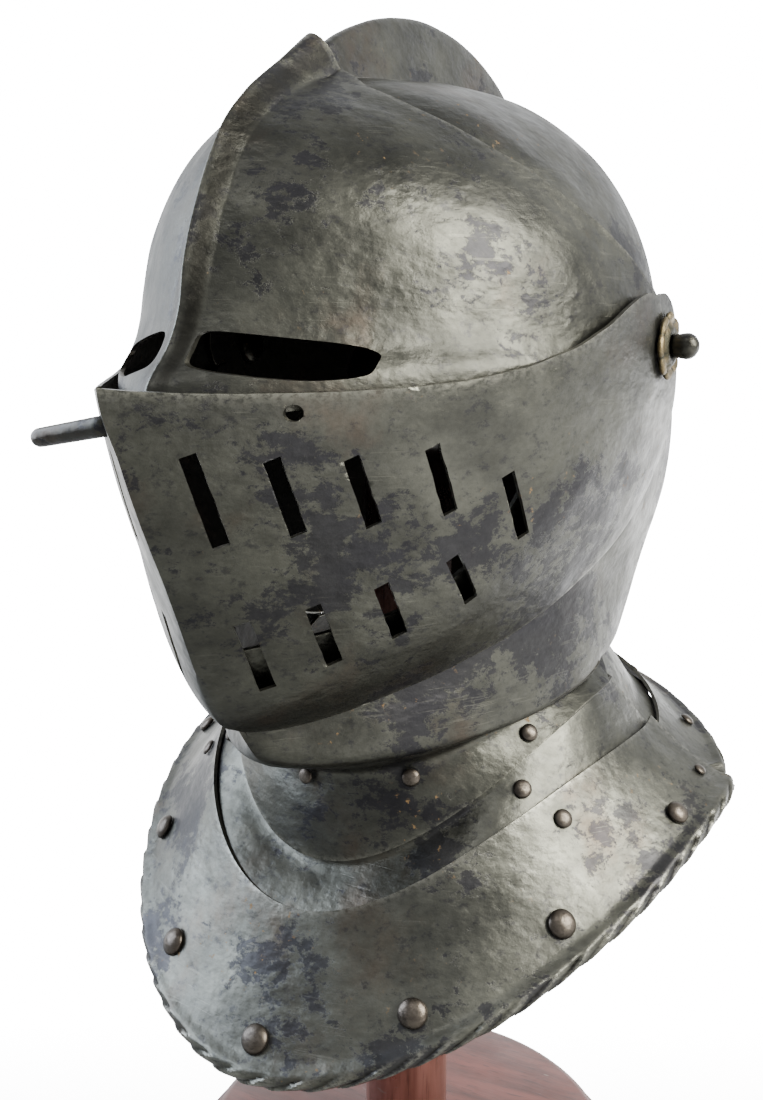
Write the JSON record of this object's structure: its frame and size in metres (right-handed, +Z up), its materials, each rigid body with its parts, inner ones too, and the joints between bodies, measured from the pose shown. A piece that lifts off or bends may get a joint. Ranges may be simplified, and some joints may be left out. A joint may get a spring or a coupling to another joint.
{
  "type": "close helmet on a display stand",
  "caption": "Closed steel helmet with a lifting visor and pointed lower face plate over a hinged chin piece and neck plates, on a turned wooden stand.",
  "frame": {"origin": "centre of the underside of the stand's base", "axes": "+Z up, the face looks along -Y, +X towards the wearer's left"},
  "size_m": [0.2646, 0.3381, 0.5175],
  "materials": {
    "steel": "dark pewter grey with blue-black and russet patina",
    "dark_steel": "brown-black rivet and pin steel",
    "brass": "aged brass",
    "wood": "reddish-brown varnish"
  },
  "bodies": {
    "skull_and_stand": {"pivot_pin_left": "dark_steel", "pivot_pin_right": "dark_steel", "rear_lame": "steel", "rear_main_plate": "steel", "rear_rim_rivet_1_left": "dark_steel", "rear_rim_rivet_1_right": "dark_steel", "rear_rim_rivet_2_left": "dark_steel", "rear_rim_rivet_2_right": "dark_steel", "rear_rim_rivet_3": "dark_steel", "rosette_left": "brass", "rosette_right": "brass", "skull": "steel", "stand_base": "wood", "stand_post": "wood"},
    "bevor": {"bevor": "steel", "bevor_rivet_1": "dark_steel", "bevor_rivet_2_left": "dark_steel", "bevor_rivet_2_right": "dark_steel", "bevor_rivet_3_left": "dark_steel", "bevor_rivet_3_right": "dark_steel", "front_lame": "steel", "front_lame_rivet_1_left": "dark_steel", "front_lame_rivet_1_right": "dark_steel", "front_main_plate": "steel", "front_plate_rivet_1_left": "dark_steel", "front_plate_rivet_1_right": "dark_steel", "front_rim_rivet_1": "dark_steel", "front_rim_rivet_2_left": "dark_steel", "front_rim_rivet_2_right": "dark_steel", "front_rim_rivet_3_left": "dark_steel", "front_rim_rivet_3_right": "dark_steel", "front_rim_rivet_4_left": "dark_steel", "front_rim_rivet_4_right": "dark_steel", "front_rim_rivet_5_left": "dark_steel", "front_rim_rivet_5_right": "dark_steel"},
    "visor": {"visor": "steel"},
    "ventail": {"lifting_peg": "dark_steel", "ventail": "steel"}
  },
  "joints": [
    {"name": "bevor_swing", "type": "hinge", "parent": "skull_and_stand", "child": "bevor", "pos_m": [0, 0.015, 0.388], "axis": [-1, 0, 0], "range_deg": [0, 30]},
    {"name": "visor_lift", "type": "hinge", "parent": "bevor", "child": "visor", "pos_m": [0, 0.015, 0.388], "axis": [-1, 0, 0], "range_deg": [0, 50]},
    {"name": "ventail_lift", "type": "hinge", "parent": "bevor", "child": "ventail", "pos_m": [0, 0.015, 0.388], "axis": [-1, 0, 0], "range_deg": [0, 45]}
  ]
}
